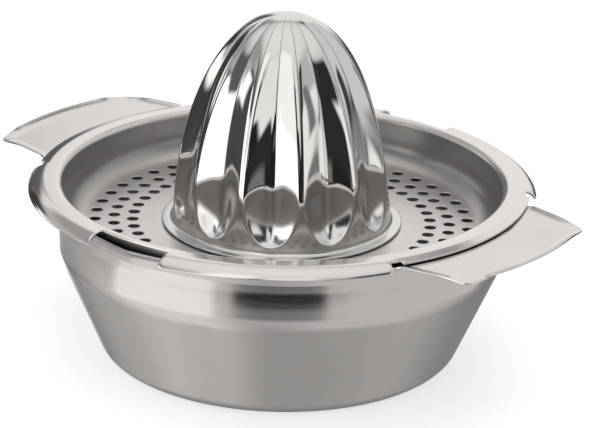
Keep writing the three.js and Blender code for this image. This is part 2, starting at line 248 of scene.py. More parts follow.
# Each box has its sizes in the order of box_inputs.
soft_boxes = {
    "floor behind": (180, 55, -50, 30, 40, 16, 0, 0.29),
    "pale floor left": (-64, 36, -44, 24, 46, 18, 0, 1.06),
    "dim floor far left": (-86, 30, -72, 13, 16, 12, 0, 0.52),
    "floor behind left": (-132, 14, -41, 10, 12, 8, 0, 0.56),
    "pale floor right": (55, 43, -36, 18, 48, 14, 0, 0.79),
    "left of the table": (-63, 30, -21, 7, 6, 5, 0, 1.36),
    "right of the table": (78, 44, -21, 7, 10, 5, 0, 0.82),
    "behind the table": (-168, 11, -23, 4, 8, 4, 0, 2.0),
    "shade on the table": (1, 19, -18, 5, 14, 2.5, 0, 0.0),
    "back box": (180, 32, 16, 28, 10, 8, 0, 0.95),
    "flag behind left": (-162, 11, 7, 15, 6, 5, 0, 0.12),
    "dark strip behind right": (150, 16, 42, 5, 10, 4, 0, 0.15),
    "left wall": (-128, 38, 38, 9, 14, 8, 0, 0.38),
    "foot of the left wall": (-122, 32, -4, 8, 10, 5, 0, 0.06),
    "black flag behind left": (-142, 10, 8, 12, 6, 5, 0, 0.05),
    "small lamp left": (-124, 12, 8, 5, 6, 4, 0, 1.3),
    "dark left of the left box": (-88, 13, 10, 20, 6, 6, 0.4, 0.08),
    "second lamp left": (-95, 5, 17, 9, 4, 4, 0.5, 1.35),
    "left box": (-47.5, 29, 8, 20, 4, 5, 0, 1.55),
    "shade over the left box": (-62, 14, 32, 12, 6, 5, -1.4, 0.13),
    "tall box": (-28, 13, 36, 28, 5, 8, 0, 1.15),
    "black front": (0, 23, -9, 13, 6, 5, 0, 0.02),
    "black left of the window": (-13, 6, 19, 20, 5, 6, 0.2, 0.03),
    "window": (6, 13, 32, 24, 3, 5, 0, 0.95),
    "black under the window": (3, 10, 9, 9, 4, 4, -1.0, 0.02),
    "black right of the window": (37, 13, 22, 26, 5, 6, 0.65, 0.03),
    "right box": (62, 22, 5, 17, 5, 6, 0, 1.0),
    "streak on the right box": (71, 4, 17, 13, 4, 4, -0.6, 0.22),
    "right wall": (120, 38, 22, 24, 8, 8, 0, 0.72),
    "foot of the right wall": (108, 17, -5, 8, 12, 5, 0, 0.32),
    "flag on the right wall": (127, 5, 4, 10, 4, 4, -0.5, 0.06),
    "flag behind right": (158, 10, -6, 6, 6, 4, 0, 0.10),
}
radiance = tones.outputs["Color"]
for name, sizes in soft_boxes.items():
    radiance = add_node(room, "ShaderNodeGroup", {
        "Azimuth": azimuth, "Elevation": elevation, "Behind": radiance, **dict(zip(box_inputs, sizes)),
    }, node_tree=box_group, label=name).outputs["Radiance"]
warm_shares = {"Red": 1.0, "Green": 0.985, "Blue": 0.97}
warm = add_node(room, "ShaderNodeCombineColor", {
    channel: calc(room, "MULTIPLY", radiance, share) for channel, share in warm_shares.items()
})
room.links.new(warm.outputs[0], room.nodes["Background"].inputs["Color"])
print(len(soft_boxes), "soft boxes painted in the room")

# %% [markdown]
# One real lamp hangs over the juicer, large and soft, as the ceiling light of the room. The floor is a
# plain pale sheet that is also lit from below, as tables for such pictures are. The metal sees the
# painted room, and neither the lamp nor the floor.

# %% Ceiling lamp and floor
lamp_width = 1200
lamp_height = 1100
lamp_watts = 2.5
lamp_data = bpy.data.lights.new("ceiling lamp", "AREA")
lamp_data.shape = "DISK"
lamp_data.size = lamp_width * MM
lamp_data.energy = lamp_watts
lamp = new_object("ceiling lamp", lamp_data)
lamp.location = (0, 0, lamp_height * MM)
lamp.visible_camera = False
lamp.visible_glossy = False

floor_half_width = 6000
floor_drop = 0.1
floor_mesh = bpy.data.meshes.new("floor")
floor_mesh.from_pydata([
    (x * floor_half_width * MM, y * floor_half_width * MM, -floor_drop * MM)
    for x, y in ((-1, -1), (1, -1), (1, 1), (-1, 1))
], [], [(0, 1, 2, 3)])
floor = new_object("floor", floor_mesh)
floor.visible_glossy = False
floor.visible_shadow = False
pale = bpy.data.materials.new("pale floor")
pale.use_nodes = True
set_inputs(pale.node_tree, pale.node_tree.nodes["Principled BSDF"], {
    "Base Color": (0.86, 0.86, 0.86, 1), "Roughness": 0.9, "Specular IOR Level": 0.1,
    "Emission Color": (1, 1, 1, 1), "Emission Strength": 0.5,
})
floor_mesh.materials.append(pale)
print("lamp", lamp_height, "mm up, floor", 2 * floor_half_width, "mm wide")

# %% [markdown]
# ## Steel finishes
#
# Stainless steel is drawn, then turned against an abrasive. That leaves grooves which run round the
# axis, so the gloss is wide up and down and narrow sideways. One node group makes the grooves from the
# distance to the axis, the height and the direction, and each finish sets how coarse they are.

# %% Turned grain
grain, given, result = shader_group(
    "turned grain", ("Lines per metre", "Arc length", "Mottle per metre"),
    ("Grooves", "Mottle", "From axis"),
)
add, subtract, multiply, divide, larger = sums(grain)
least_radius = 0.5
place = add_node(grain, "ShaderNodeTexCoord").outputs["Object"]
split = add_node(grain, "ShaderNodeSeparateXYZ", {0: place}).outputs
from_axis = calc(grain, "SQRT", add(multiply(split["X"], split["X"]), multiply(split["Y"], split["Y"])))
safe_radius = larger(from_axis, least_radius * MM)
cosine, sine = (divide(split[axis], safe_radius) for axis in "XY")
groove_place = add_node(grain, "ShaderNodeCombineXYZ", {
    0: multiply(from_axis, given["Lines per metre"]),
    1: multiply(split["Z"], given["Lines per metre"]),
    2: multiply(cosine, given["Arc length"]),
}).outputs[0]
grooves = add_node(grain, "ShaderNodeTexNoise", {
    "Vector": groove_place, "W": multiply(sine, given["Arc length"]), "Scale": 1, "Detail": 2,
}, noise_dimensions="4D").outputs["Fac"]
mottle = add_node(grain, "ShaderNodeTexNoise", {
    "Vector": place, "Scale": given["Mottle per metre"], "Detail": 3,
}).outputs["Fac"]
for label, value in (("Grooves", grooves), ("Mottle", mottle), ("From axis", from_axis)):
    grain.links.new(value, result[label])
print(len(grain.nodes), "nodes make the grain")

# %% [markdown]
# A finish is a metal shader whose colour and roughness drift a little with the grain. The groove gives
# a very shallow bump. Past a certain radius the sheet is shinier: the band, the handles and the flange
# are buffed, and the slanted wall and the floor of the dish stay satin. Past a second radius the colour
# is raised, a painted highlight that makes the handles and the flange look lit. What is the same all
# over, such as the metal itself and how far the gloss is drawn out, is set on the shader.

# %% Steel
mottle_per_metre = 70
groove_arc_length = 6.0
groove_noise = (0.3, 0.7)
darker_share = 0.93
quarter_turn = 0.25
zone_edge = 1


def scale_colour(tree, shader, colour, share):
    """Sends a colour, scaled by a share, to the shader."""
    scaled = add_node(tree, "ShaderNodeVectorMath", {0: colour, "Scale": share}, operation="SCALE")
    tree.links.new(scaled.outputs["Vector"], shader.inputs["Base Color"])


def fed_by(shader, label):
    """The socket that feeds an input of a shader."""
    return shader.inputs[label].links[0].from_socket


def steel(name, colour, roughness, groove_depth, stretch, lines_per_metre, buffed, painted_highlight):
    """A steel finish. roughness is its lowest and highest; the two pairs after it are each a radius and a
    share, of the roughness and of the colour, that holds past it; the raised colour is a painted
    highlight. Sizes are in millimetres."""
    made = bpy.data.materials.new(name)
    made.use_nodes = True
    tree = made.node_tree
    shader = tree.nodes["Principled BSDF"]
    turned = add_node(tree, "ShaderNodeGroup", {
        "Lines per metre": lines_per_metre, "Arc length": groove_arc_length,
        "Mottle per metre": mottle_per_metre,
    }, node_tree=grain).outputs

    def share_past(radius, share):
        low, high = (radius - zone_edge) * MM, radius * MM
        return graded(tree, turned["From axis"], low, high, 1.0, share)

    tint = add_node(tree, "ShaderNodeMix", {
        "Factor": turned["Mottle"], "A": (*[c * darker_share for c in colour], 1), "B": (*colour, 1),
    }, data_type="RGBA")
    # Past the second radius the colour is scaled up: a painted highlight on the handles and the flange.
    scale_colour(tree, shader, tint.outputs["Result"], share_past(*painted_highlight))
    gloss = graded(tree, turned["Grooves"], *groove_noise, *roughness)
    bump = add_node(tree, "ShaderNodeBump", {
        "Strength": 1, "Distance": groove_depth * MM, "Height": turned["Grooves"],
    })
    set_inputs(tree, shader, {
        "Metallic": 1, "Anisotropic": stretch, "Anisotropic Rotation": quarter_turn,
        "Roughness": calc(tree, "MULTIPLY", gloss, share_past(*buffed)),
        "Normal": bump.outputs["Normal"],
    })
    if stretch:
        tangent = add_node(tree, "ShaderNodeTangent", direction_type="RADIAL", axis="Z")
        tree.links.new(tangent.outputs["Tangent"], shader.inputs["Tangent"])
    return made


bowl_steel = steel(
    "satin bowl steel", colour=(0.585, 0.568, 0.560), roughness=(0.26, 0.36), groove_depth=0.0006,
    stretch=0.5, lines_per_metre=2600, buffed=(64.8, 0.45), painted_highlight=(69.0, 1.26),
)
dish_steel = steel(
    "satin dish steel", colour=(0.77, 0.748, 0.738), roughness=(0.28, 0.38), groove_depth=0.0008,
    stretch=0.4, lines_per_metre=2600, buffed=(65.0, 0.40), painted_highlight=(65.0, 1.04),
)
cone_steel = steel(
    "polished cone steel", colour=(0.80, 0.79, 0.78), roughness=(0.02, 0.04), groove_depth=0.0001,
    stretch=0.0, lines_per_metre=900, buffed=(80, 1.0), painted_highlight=(80, 1.0),
)
print("finishes:", [finish.name for finish in (bowl_steel, dish_steel, cone_steel)])

# %% [markdown]
# The bottom of a flute and the top of a ridge are darkened in the colour, a painted shade along both
# lines. The scoops at the foot are less smooth. The tree that presses the flutes marks these places on
# the cone, as the attributes "crease" and "scoop".

# %% Painted shade in the creases
crease_shade_share = 0.4
scoop_added_roughness = 0.16
cone_tree = cone_steel.node_tree
cone_shader = cone_tree.nodes["Principled BSDF"]
crease_mark, scoop_mark = (
    add_node(cone_tree, "ShaderNodeAttribute", attribute_name=mark).outputs["Fac"]
    for mark in ("crease", "scoop")
)
# Painted shade: the colour is scaled down along the valley and ridge lines.
painted_crease_shade = graded(cone_tree, crease_mark, 0.0, 1.0, 1.0, crease_shade_share)
scale_colour(cone_tree, cone_shader, fed_by(cone_shader, "Base Color"), painted_crease_shade)
added = calc(cone_tree, "MULTIPLY", scoop_mark, scoop_added_roughness)
rougher = calc(cone_tree, "ADD", fed_by(cone_shader, "Roughness"), added)
cone_tree.links.new(rougher, cone_shader.inputs["Roughness"])
print("creases keep", crease_shade_share, "of the colour")

# %% [markdown]
# The upright wall of the dish, between its floor and its rounded rim, is darkened in the colour, a
# painted shade that keeps it darker than the flange above it.

# %% Painted shade on the wall of the dish
wall_shade_loss = 0.54
wall_foot_from, wall_foot_to = 56.5, 61.6
wall_top_from, wall_top_to = 63.3, 63.6
dish_tree = dish_steel.node_tree
dish_shader = dish_tree.nodes["Principled BSDF"]
axis_distance = next(node for node in dish_tree.nodes if node.type == "GROUP").outputs["From axis"]
past_floor = graded(dish_tree, axis_distance, wall_foot_from * MM, wall_foot_to * MM)
before_rim = graded(dish_tree, axis_distance, wall_top_from * MM, wall_top_to * MM, 1.0, 0.0)
on_wall = calc(dish_tree, "MULTIPLY", past_floor, before_rim)
# Painted shade: the colour of the dish is scaled down on its upright wall.
painted_wall_shade = calc(dish_tree, "MULTIPLY", on_wall, wall_shade_loss)
wall_share = calc(dish_tree, "SUBTRACT", 1.0, painted_wall_shade)
scale_colour(dish_tree, dish_shader, fed_by(dish_shader, "Base Color"), wall_share)
print("the wall of the dish loses", wall_shade_loss, "of its colour")

# %% [markdown]
# ## Sheet metal in Blender
#
# The bowl and the dish are each drawn as one surface without thickness. A Solidify modifier gives it
# the wall, a Bevel breaks the cut edges, and weighted normals keep the flat parts flat. The result is
# then made a plain mesh.

# %% Sheet helpers
sheet = 0.6
edge_break = 0.12
sharp_from = math.radians(50)
joint_distance = 0.002


def add_patch(bm, rows, columns, place, closed, flipped=False, present=None):
    """A grid of faces; place(i, j) gives a point in millimetres."""
    grid = [[bm.verts.new(place(i, j) * MM) for j in range(columns)] for i in range(rows)]
    for i in range(rows - 1):
        for j in range(columns if closed else columns - 1):
            if present and not present(i, j):
                continue
            after = (j + 1) % columns
            ring = [grid[i][j], grid[i][after], grid[i + 1][after], grid[i + 1][j]]
            bm.faces.new(ring[::-1] if flipped else ring)


def surface_object(name, bm):
    """Joins the patches of a surface at their shared edges and makes an object of it."""
    bmesh.ops.remove_doubles(bm, verts=bm.verts, dist=joint_distance * MM)
    bmesh.ops.delete(bm, geom=[v for v in bm.verts if not v.link_faces], context="VERTS")
    mesh = bpy.data.meshes.new(name)
    bm.to_mesh(mesh)
    bm.free()
    return new_object(name, mesh)


def settle(piece):
    """Makes what the modifiers show a plain mesh."""
    graph = bpy.context.evaluated_depsgraph_get()
    plain = bpy.data.meshes.new_from_object(piece.evaluated_get(graph))
    piece.modifiers.clear()
    piece.data = plain
    plain.name = piece.name


def dress(piece, material, body, node):
    """Gives a piece its finish, and the place of its CAD node."""
    piece.data.materials.clear()
    piece.data.materials.append(material)
    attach(piece, body)
    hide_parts(node)
    low, high = (Vector(piece.bound_box[k]) / MM for k in (0, 6))
    print(piece.name, len(piece.data.polygons), "faces,", [round(v, 1) for v in high - low], "mm")


def finish_sheet(piece):
    """Gives a surface its thickness, broken edges and clean shading."""
    piece.data.shade_smooth()
    wall = piece.modifiers.new("wall", "SOLIDIFY")
    wall.thickness = sheet * MM
    wall.offset = -1
    wall.use_even_offset = True
    broken = piece.modifiers.new("broken edges", "BEVEL")
    broken.width = edge_break * MM
    broken.segments = 2
    broken.limit_method = "ANGLE"
    broken.angle_limit = sharp_from
    piece.modifiers.new("flat parts stay flat", "WEIGHTED_NORMAL").keep_sharp = True
    settle(piece)


# %% [markdown]
# ## The bowl
#
# A press draws the bowl from one disc of sheet: flat base, slanted wall, a bend, an upright band, and at
# two places the sheet runs on into the handles. Between the handles the rim is trimmed off part of the
# way round its bend. Since every point of it is found from a distance along the section and a direction
# round the axis, the bowl is one grid of rows and columns, and the handles are the columns that go on
# past the rim.

# %% Bowl sizes
band_radius = 64.9
base_radius = 51
band_foot = 32.2
base_corner_radius = 6
bend_radius = 11
handle_level = 50.4
mouth_bend_radius = 4.5
rim_trim_angle = 44
lip_depth = 0.9
lip_half_angle = math.radians(9)
lip_fade = 15

handle_length = 24.8
handle_tip_half_width = 27.5
handle_taper = math.radians(10.9)
handle_corner_radius = 1.6
edge_lift = 1.1
edge_lift_width = 4
edge_lift_run_in = 1.8
edge_lift_fade = 9
tab_past_bend = 1.8

handle_reach = band_radius + handle_length
rest_tab_radius = band_radius + mouth_bend_radius + tab_past_bend
tip_half_angle = math.asin(handle_tip_half_width / handle_reach)
handle_side_distance = handle_reach * math.sin(tip_half_angle + handle_taper)


def handle_half_angle(radius):
    """Half of the angle that a handle takes up at a radius; its sides are straight."""
    return math.asin(handle_side_distance / radius) - handle_taper


print("half width of a handle at its root:", round(math.degrees(handle_half_angle(rest_tab_radius)), 1))

# %% Bowl section
slant = math.degrees(math.atan2(band_foot, band_radius - base_radius))
corner_tangent = base_corner_radius * math.tan(math.radians(slant / 2))
bend_tangent = bend_radius * math.tan(math.radians((90 - slant) / 2))
bend_top = band_foot + bend_tangent
mouth_bend_level = handle_level - sheet - mouth_bend_radius
mouth_centre = band_radius + mouth_bend_radius

base_rows = (0, 6, 14, 22, 30, 38, 44)
flat_base = [(r, 0.0) for r in base_rows]
corner = arc(
    base_radius - corner_tangent, base_corner_radius, base_corner_radius, -90, slant - 90, steps=12
)
bend = arc(band_radius - bend_radius, bend_top, bend_radius, slant - 90, 0, steps=10)
wall = between(corner[-1], bend[0], steps=10)
band_bow_start, band_bow_end, band_bow_radius = 37.0, 42.0, 75.0


def band_bow(z):
    """The middle of the band springs back a little less than its upper part, which leans in."""
    return (min(max(z, band_bow_start), band_bow_end) - band_bow_start) ** 2 / (2 * band_bow_radius)


band = [(band_radius - band_bow(z), z) for z in spread(bend_top, mouth_bend_level, steps=24)[1:-1]]
mouth_arc = partial(arc, mouth_centre, mouth_bend_level, mouth_bend_radius)
bowl_rows = flat_base + corner + wall + bend + band + mouth_arc(180, 180 - rim_trim_angle, steps=8)
rim_row = len(bowl_rows) - 1
bowl_rows += mouth_arc(180 - rim_trim_angle, 90, steps=8)[1:]
lift_start = handle_reach - edge_lift_width
handle_rows = spread(mouth_centre, lift_start, steps=20) + spread(lift_start, handle_reach, steps=10)[1:]
bowl_rows += [(r, handle_level - sheet) for r in handle_rows[1:]]
print(len(bowl_rows), "rows, of which", rim_row + 1, "run all the way round")

# %% [markdown]
# The edge of a handle is turned up a little, so that it isn't sharp in the hand. How far a point is
# lifted depends on how near it is to the side or the tip. Towards the corners the lift dies out, and the
# corners are just rounded.

# %% Handle shape
def handle_lift(radius, angle):
    """How far a handle is turned up at a point."""
    to_side = handle_side_distance - radius * math.sin(abs(angle) + handle_taper)
    to_end = handle_reach - radius
    nearest = min(max(min(to_side, to_end), 0), edge_lift_width)
    run_in = ramp(radius, rest_tab_radius, rest_tab_radius + edge_lift_run_in)
    from_corner = ramp(max(to_side, to_end), 0, edge_lift_fade)
    eased = from_corner * from_corner * (3 - 2 * from_corner)
    return edge_lift * run_in * eased * (1 - nearest / edge_lift_width) ** 2


def rounded_corner(radius, angle):
    """Draws a point in from the sharp corner of the handle onto the rounded one."""
    from_side = handle_side_distance - radius * math.sin(abs(angle) + handle_taper)
    side = handle_corner_radius - from_side
    end = handle_corner_radius - (handle_reach - radius)
    if side <= 0 or end <= 0:
        return radius, angle
    shrink = max(side, end) / math.hypot(side, end)
    new_radius = handle_reach - handle_corner_radius + end * shrink
    new_from_side = handle_corner_radius - side * shrink
    size = math.asin((handle_side_distance - new_from_side) / new_radius) - handle_taper
    return new_radius, math.copysign(size, angle)


def lip_push(angle, z):
    """How far the band is pressed outward at the two pouring lips."""
    off_axis = math.acos(min(1.0, abs(math.sin(angle))))
    across = 1 - ramp(off_axis, 0, lip_half_angle)
    down = 1 - ramp(bowl_rows[rim_row][1] - z, 0, lip_fade)
    return lip_depth * across * down * down


print("a lip stands out", round(lip_push(math.pi / 2, bowl_rows[rim_row][1]), 2), "mm at the rim")

# %% Bowl columns
rim_half_angle = handle_half_angle(bowl_rows[rim_row][0])
side_share = 1 - edge_lift_width / handle_tip_half_width
half_shares = spread(0, side_share, steps=16) + spread(side_share, 1, steps=9)[1:]
across_shares = [-v for v in half_shares[:0:-1]] + half_shares
between_handles = 140
bowl_columns = []
for turn in (0, math.pi):
    bowl_columns += [(turn, share, turn + share * rim_half_angle) for share in across_shares]
    gap = math.pi - 2 * rim_half_angle
    bowl_columns += [
        (turn, None, turn + rim_half_angle + gap * k / between_handles)
        for k in range(1, between_handles)
    ]


def bowl_point(i, j):
    r, z = bowl_rows[i]
    turn, share, angle = bowl_columns[j]
    if i <= rim_row:
        return polar(r + (lip_push(angle, z) if i else 0), angle, z)
    radius, off = rounded_corner(r, (1 if share is None else share) * handle_half_angle(r))
    return polar(radius, turn + off, z + handle_lift(radius, off))


def bowl_has_face(i, j):
    share = bowl_columns[j][1]
    return i < rim_row or (share is not None and share < 1)


bm = bmesh.new()
add_patch(bm, len(bowl_rows), len(bowl_columns), bowl_point, closed=True, present=bowl_has_face)
bowl = surface_object("bowl_shell", bm)
finish_sheet(bowl)
dress(bowl, bowl_steel, "bowl", "bowl")

# %% [markdown]
# ## The strainer dish
#
# The dish is pressed, then cut: two pouring notches near the ends of Y, and beside each handle a cut
# that frees a tab, which slopes down onto the handle. Inside the cone the floor is turned up into a
# collar, which the cone is pressed over. The dish is made of patches that share their edges. What lies
# inside the notch line runs all the way round, and past it each sector has its own section. As the dish
# has a few degrees of play, it hangs a little turned in the bowl.

# %% Dish sizes
dish_clearance = 0.4
seat_gap = 0.3
dish_turn = math.radians(3.2)
dish_depth = 13
floor_corner_radius = 6.5
wall_draft = 1
rim_bead_radius = 1.9
flange_width = 3.2
flange_rise = 0.7
roll_radius = 5.4
roll_angle = 59
tab_margin = math.radians(0.9)
relief_width = math.radians(2.7)
relief_depth = 1.2
notch_turn = math.radians(2)
notch_land = 1.3
notch_half_width = 12.1
cut_corner_radius = 0.9

tab_edge_level = handle_level + seat_gap + sheet
flange_level = tab_edge_level + flange_rise
floor_level = flange_level - dish_depth
wall_top_radius = band_radius - sheet - dish_clearance - sheet
floor_radius = wall_top_radius - wall_draft - floor_corner_radius
bead_end = wall_top_radius + rim_bead_radius
flange_radius = bead_end + flange_width
notch_radius = bead_end + notch_land
relief_radius = rest_tab_radius - relief_depth
skirt_reach = flange_radius + roll_radius * math.sin(math.radians(roll_angle))
tab_half_angle = handle_half_angle(rest_tab_radius) + tab_margin
print("dish floor at", round(floor_level, 2), "flange at", round(flange_level, 2), "mm")

# %% Collar
cone_radius = 31.4
collar_radius = cone_radius - sheet - seat_gap
collar_height = 1.8
collar_bend_radius = 0.9
collar_centre = collar_radius + collar_bend_radius
collar_bend = arc(
    collar_centre, floor_level + collar_bend_radius, collar_bend_radius, 180, 270, steps=5
)
collar_top = floor_level + collar_height
collar_levels = spread(collar_top, collar_bend[0][1], steps=3)[:-1]
collar_rows = [(collar_radius, z) for z in collar_levels] + collar_bend
print("collar at", round(collar_radius, 1), "mm, up to", round(collar_top, 2), "mm")

# %% Dish rows
floor_corner = arc(
    floor_radius, floor_level + floor_corner_radius, floor_corner_radius, -90, 0, steps=14
)
bead = arc(bead_end, flange_level - rim_bead_radius, rim_bead_radius, 180, 90, steps=10)
dish_wall = between(floor_corner[-1], bead[0], steps=6)
ring_rows = floor_corner + dish_wall + bead + [(notch_radius, flange_level)]
flange_rows = [(r, flange_level) for r in spread(notch_radius, flange_radius, steps=4)]


def tab_section(start, end, steps):
    """The tab slopes straight down from the flange to its edge."""
    return [
        (r, flange_level - flange_rise * ramp(r, flange_radius, rest_tab_radius))
        for r in spread(start, end, steps)
    ]


relief_angle = math.degrees(math.asin((relief_radius - flange_radius) / roll_radius))
roll_centre = flange_level - roll_radius
tab_root = tab_section(flange_radius, relief_radius, steps=3)
tab_end = tab_section(relief_radius, rest_tab_radius, steps=5)
skirt_arc = partial(arc, flange_radius, roll_centre, roll_radius)
skirt_root = skirt_arc(90, 90 - relief_angle, steps=3)
skirt_end = skirt_arc(90 - relief_angle, 90 - roll_angle, steps=16)
print("the skirt reaches", round(skirt_reach, 2), "mm from the axis")

# %% [markdown]
# Two of the cuts need a word. The sides of a notch are parallel, so the angle to them gets smaller with
# the radius. And every cut corner is rounded: near the free edge, a side draws back along a quarter
# circle.

# %% Dish sectors
def notch_half_angle(radius):
    return math.asin(notch_half_width / radius)


def notch_side(radius, z):
    """How far the skirt runs on past its first row at the side of a notch."""
    return notch_half_angle(notch_radius) - notch_half_angle(radius) - rounded(radius, z, skirt_edge)


def relief_side(radius, z):
    return -rounded(radius, z, skirt_edge)


def tab_side(radius, z):
    return -rounded(radius, z, tab_end[-1])


def straight_side(radius, z):
    return 0.0


def rounded(radius, z, free_edge):
    """The angle by which a cut corner draws back, near a free edge at a radius and height."""
    near = cut_corner_radius - math.hypot(free_edge[0] - radius, free_edge[1] - z)
    drawn_back = cut_corner_radius - math.sqrt(cut_corner_radius ** 2 - max(0.0, near) ** 2)
    return drawn_back / radius


def add_sector(bm, angles, rows, end_rows=None, start_side=straight_side, end_side=straight_side):
    """A part of the dish between two angles. Its section may differ from one side to the other."""
    first, last = angles[0], angles[-1]
    end_rows = end_rows or rows

    def point(i, j):
        share = (angles[j] - first) / (last - first)
        (r0, z0), (r1, z1) = rows[i], end_rows[i]
        r, z = r0 + (r1 - r0) * share, z0 + (z1 - z0) * share
        start, end = first - start_side(r, z), last + end_side(r, z)
        return polar(r, start + (end - start) * share, z)

    add_patch(bm, len(rows), len(angles), point, closed=False, flipped=True)


skirt_edge = skirt_end[-1]
cut_half_angle = tab_half_angle + relief_width
notch_start = math.pi / 2 + notch_turn - notch_half_angle(notch_radius)
notch_end = math.pi / 2 + notch_turn + notch_half_angle(notch_radius)
to_next_handle = math.pi + dish_turn
# Half a turn of the dish, from one side of a tab to the same side of the next; then it repeats.
cuts = (
    dish_turn - tab_half_angle, dish_turn + tab_half_angle, dish_turn + cut_half_angle, notch_start,
    notch_end, to_next_handle - cut_half_angle, to_next_handle - tab_half_angle,
)
sector_steps = (58, 5, 52, 22, 50, 5)
sectors = [spread(start, end, steps) for start, end, steps in zip(cuts, cuts[1:], sector_steps)]
print("a notch takes up", round(math.degrees(notch_end - notch_start), 1), "degrees of the flange")

# %% Dish shell
bm = bmesh.new()
all_round = [turn + angle for turn in (0, math.pi) for sector in sectors for angle in sector[:-1]]
for rows in (collar_rows, ring_rows):
    add_patch(
        bm, len(rows), len(all_round), lambda i, j: polar(rows[i][0], all_round[j], rows[i][1]),
        closed=True, flipped=True,
    )
for turn in (0, math.pi):
    tab, relief, near_skirt, _, far_skirt, next_relief = (
        [turn + angle for angle in sector] for sector in sectors
    )
    add_sector(bm, tab, flange_rows)
    add_sector(bm, relief, flange_rows)
    add_sector(bm, near_skirt, flange_rows, end_side=notch_side)
    add_sector(bm, far_skirt, flange_rows, start_side=notch_side)
    add_sector(bm, next_relief, flange_rows)
    add_sector(bm, tab, tab_root)
    add_sector(bm, tab, tab_end, start_side=tab_side, end_side=tab_side)
    add_sector(bm, relief, tab_root, skirt_root)
    add_sector(bm, next_relief, skirt_root, tab_root)
    add_sector(bm, near_skirt, skirt_root, end_side=notch_side)
    add_sector(bm, near_skirt, skirt_end, start_side=relief_side, end_side=notch_side)
    add_sector(bm, far_skirt, skirt_root, start_side=notch_side)
    add_sector(bm, far_skirt, skirt_end, start_side=notch_side, end_side=relief_side)
dish = surface_object("strainer_dish", bm)
print("dish shell:", len(dish.data.polygons), "faces, edge of the floor at", round(floor_radius, 2), "mm")

# %% [markdown]
# ### The pierced floor
#
# The holes repeat, so Geometry Nodes set them out: a point for each hole, found from its number, a circle
# on each point, and one fill between the circles and the two edges of the floor. The tree takes those
# edges from the shell itself, so the floor and the shell share their points. Its inputs are named and
# get their values from the same table as the modifier.

# %% Geometry helpers
def geometry_tree(name, numbers):
    """A tree with one geometry going in and out, and named number inputs."""
    tree = bpy.data.node_groups.new(name, "GeometryNodeTree")
    tree.interface.new_socket("Geometry", in_out="INPUT", socket_type="NodeSocketGeometry")
    tree.interface.new_socket("Geometry", in_out="OUTPUT", socket_type="NodeSocketGeometry")
    for label, value in numbers.items():
        kind = "NodeSocketInt" if isinstance(value, int) else "NodeSocketFloat"
        tree.interface.new_socket(label, in_out="INPUT", socket_type=kind).default_value = value
    tree.interface.new_socket("Finish", in_out="INPUT", socket_type="NodeSocketMaterial")
    return tree, tree.nodes.new("NodeGroupInput").outputs, tree.nodes.new("NodeGroupOutput").inputs


def polar_place(tree, radius, angle, height=0.0):
    """The place at a radius, a direction and a height, inside a tree."""
    return add_node(tree, "ShaderNodeCombineXYZ", {
        0: calc(tree, "MULTIPLY", radius, calc(tree, "COSINE", angle)),
        1: calc(tree, "MULTIPLY", radius, calc(tree, "SINE", angle)),
        2: height,
    }).outputs[0]


def join(tree, *parts):
    joined = add_node(tree, "GeometryNodeJoinGeometry")
    for part in parts:
        tree.links.new(part, joined.inputs[0])
    return joined


def end_tree(tree, made, merge_distance, given, result):
    """Joins the points that meet, makes instances real and sets the finish."""
    merged = add_node(tree, "GeometryNodeMergeByDistance", {
        "Geometry": made.outputs[0], "Distance": merge_distance * MM,
    })
    real = add_node(tree, "GeometryNodeRealizeInstances", {0: merged.outputs[0]})
    dressed = add_node(tree, "GeometryNodeSetMaterial", {
        "Geometry": real.outputs[0], "Material": given["Finish"],
    })
    tree.links.new(dressed.outputs[0], result[0])


def run_tree(piece, tree, values):
    """Sets the inputs of a tree on a piece by their identifiers, and makes the result a plain mesh."""
    modifier = piece.modifiers.new(tree.name, "NODES")
    modifier.node_group = tree
    for item in tree.interface.items_tree:
        if item.in_out == "INPUT" and item.name in values:
            modifier[item.identifier] = values[item.name]
    settle(piece)


# %% Hole sizes
hole_radius = 1.7
hole_rows = 3
holes_per_row = 46
hole_inset = 1.9
hole_land = 8.4
first_hole = math.radians(33.6)
points_per_hole = 20
edge_tolerance = 0.05
floor_joint_distance = 0.01
cone_foot_width = 3.2
outer_row = floor_radius - hole_inset
inner_row = cone_radius + cone_foot_width + hole_land
hole_row_pitch = (outer_row - inner_row) / (hole_rows - 1)
floor_numbers = {
    "Floor level": floor_level * MM, "Hole radius": hole_radius * MM,
    "Outer row": outer_row * MM, "Row pitch": hole_row_pitch * MM,
    "Rows": hole_rows, "Holes per row": holes_per_row,
    "First hole": first_hole, "Points per hole": points_per_hole,
}
print(hole_rows * holes_per_row, "holes, rows", round(hole_row_pitch, 2), "mm apart")

# %% Pierced floor tree
pierced, given, result = geometry_tree("pierced floor", floor_numbers)
add, subtract, multiply, divide, larger = sums(pierced)
number = add_node(pierced, "GeometryNodeInputIndex").outputs[0]
row = calc(pierced, "FLOOR", divide(number, given["Holes per row"]))
in_row = calc(pierced, "MODULO", number, given["Holes per row"])
stagger = multiply(calc(pierced, "MODULO", row, 2.0), 0.5)
turned_share = divide(add(in_row, stagger), given["Holes per row"])
hole_angle = add(multiply(turned_share, math.tau), given["First hole"])
hole_row = subtract(given["Outer row"], multiply(row, given["Row pitch"]))
hole_points = add_node(pierced, "GeometryNodePoints", {
    "Count": multiply(given["Rows"], given["Holes per row"]),
    "Position": polar_place(pierced, hole_row, hole_angle),
})
hole_circle = add_node(pierced, "GeometryNodeCurvePrimitiveCircle", {
    "Resolution": given["Points per hole"], "Radius": given["Hole radius"],
})
placed = add_node(pierced, "GeometryNodeInstanceOnPoints", {
    "Points": hole_points.outputs[0], "Instance": hole_circle.outputs[0],
})
holes = add_node(pierced, "GeometryNodeRealizeInstances", {0: placed.outputs[0]})
print(len(pierced.nodes), "nodes set out the holes")

